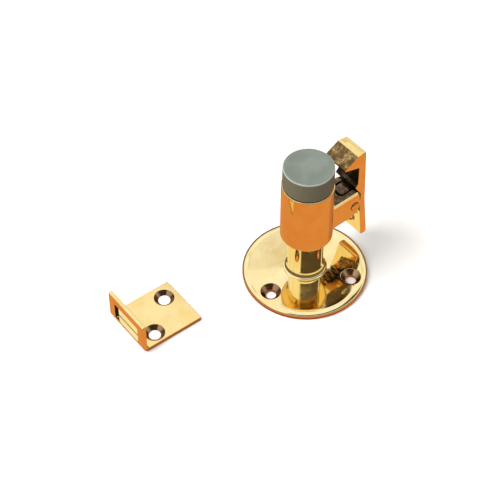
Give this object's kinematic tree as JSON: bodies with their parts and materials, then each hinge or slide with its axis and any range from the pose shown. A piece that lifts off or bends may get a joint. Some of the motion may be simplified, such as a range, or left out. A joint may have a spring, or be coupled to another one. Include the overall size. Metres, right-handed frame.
{
  "type": "door holder",
  "caption": "Brass door holder: round screw-down base, short post with a rubber buffer, sprung hook pivoted on a forked side arm, and a loose bent keeper plate with a slot.",
  "frame": {"origin": "middle of the base flange's flat underside, on the post's axis", "axes": "+Z along the post towards the rubber buffer, +X along the arm towards the hook, the keeper plate lies at -X on the same plane"},
  "size_m": [0.1018, 0.0556, 0.0597],
  "materials": {
    "polished_brass": "mirror polished, clear lacquered",
    "cast_brass": "polished outside, as cast inside",
    "stainless_steel": "bright drawn",
    "grey_rubber": "moulded, satin"
  },
  "bodies": {
    "holder": {"base_flange": "polished_brass", "post_stud": "stainless_steel", "post_body": "polished_brass", "buffer_insert": "stainless_steel", "rubber_buffer": "grey_rubber", "pivot_pin": "cast_brass", "latch_spring": "stainless_steel"},
    "latch": {"latch_hook": "cast_brass"},
    "keeper": {"keeper_plate": "polished_brass"}
  },
  "joints": [
    {"name": "latch_hinge", "type": "hinge", "parent": "holder", "child": "latch", "pos_m": [0.01936, 0, 0.03005], "axis": [0, 1, 0], "range_deg": [0, 18], "stiffness_Nm_per_rad": 0.15, "springref_deg": -20.05, "deforming": ["latch_spring"]},
    {"name": "keeper_lift", "type": "slide", "parent": "holder", "child": "keeper", "axis": [0, 0, 1], "range_m": [0, 0.06]}
  ]
}
